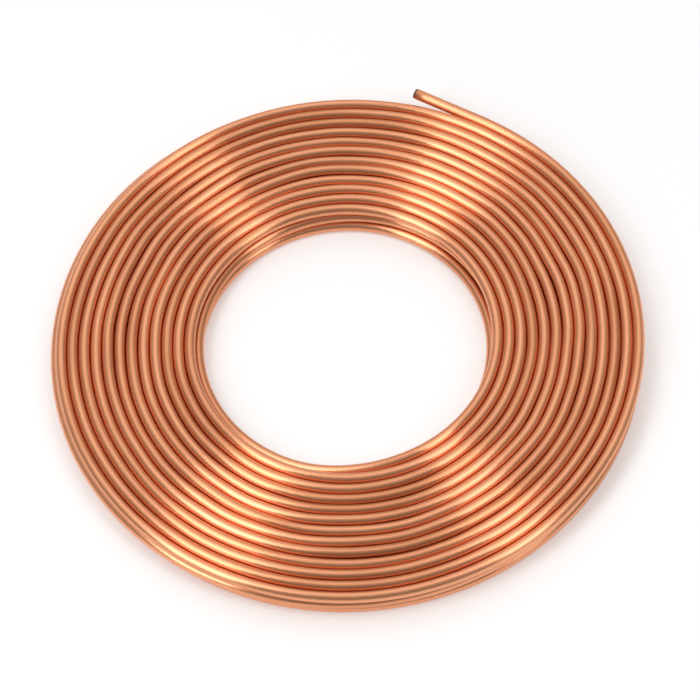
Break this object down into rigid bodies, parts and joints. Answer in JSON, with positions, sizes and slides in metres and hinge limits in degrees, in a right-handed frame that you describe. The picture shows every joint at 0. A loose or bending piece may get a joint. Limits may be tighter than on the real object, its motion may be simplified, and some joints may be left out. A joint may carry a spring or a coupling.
{
  "type": "copper tube coil",
  "caption": "Flat coil of soft copper tube wound in layers around an open eye, with its outer end left straight and open for cutting lengths or joining fittings.",
  "frame": {"origin": "On the coil's axis, at the level that the coil lies on.", "axes": "+Z is the coil's axis and points up out of the top layer. +X and +Y lie in the floor. The tube's straight outer end leaves the top layer at 56 degrees from +X and points back towards -X and +Y."},
  "size_m": [0.3317, 0.3301, 0.0191],
  "materials": {
    "soft_copper": "bright drawn soft copper, lightly dulled"
  },
  "bodies": {
    "root": {"copper_tube_coil": "soft_copper"}
  },
  "joints": []
}
